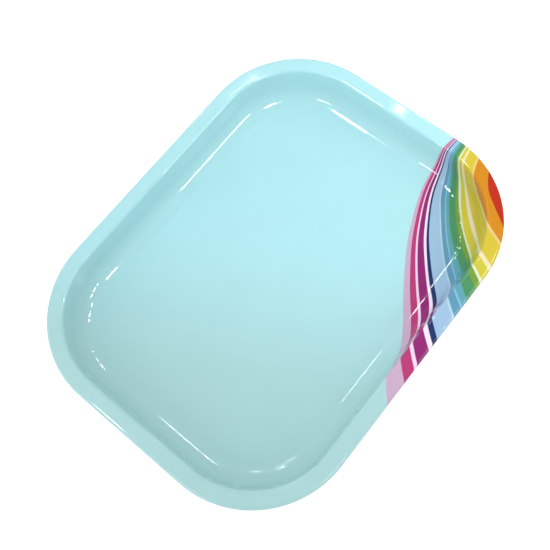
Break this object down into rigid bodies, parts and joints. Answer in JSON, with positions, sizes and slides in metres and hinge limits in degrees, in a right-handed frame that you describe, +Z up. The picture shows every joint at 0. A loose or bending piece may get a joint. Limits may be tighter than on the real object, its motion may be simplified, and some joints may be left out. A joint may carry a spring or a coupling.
{
  "type": "serving tray",
  "caption": "Small rectangular pressed tinplate serving tray with large rounded corners, a sloping wall, a flat flange and a rolled edge, printed with curved colour bands.",
  "frame": {"origin": "centre of the footprint, on the surface that the tray stands on", "axes": "+X along the tray's long side, +Y across it, +Z up out of the tray; the printed bands cross the corner at +X -Y"},
  "size_m": [0.18, 0.14, 0.015],
  "materials": {
    "printed_tinplate": "gloss varnish over print",
    "rim_wire": "plain drawn steel wire"
  },
  "bodies": {
    "root": {"pressed_tray": "printed_tinplate", "rim_wire": "rim_wire"}
  },
  "joints": []
}
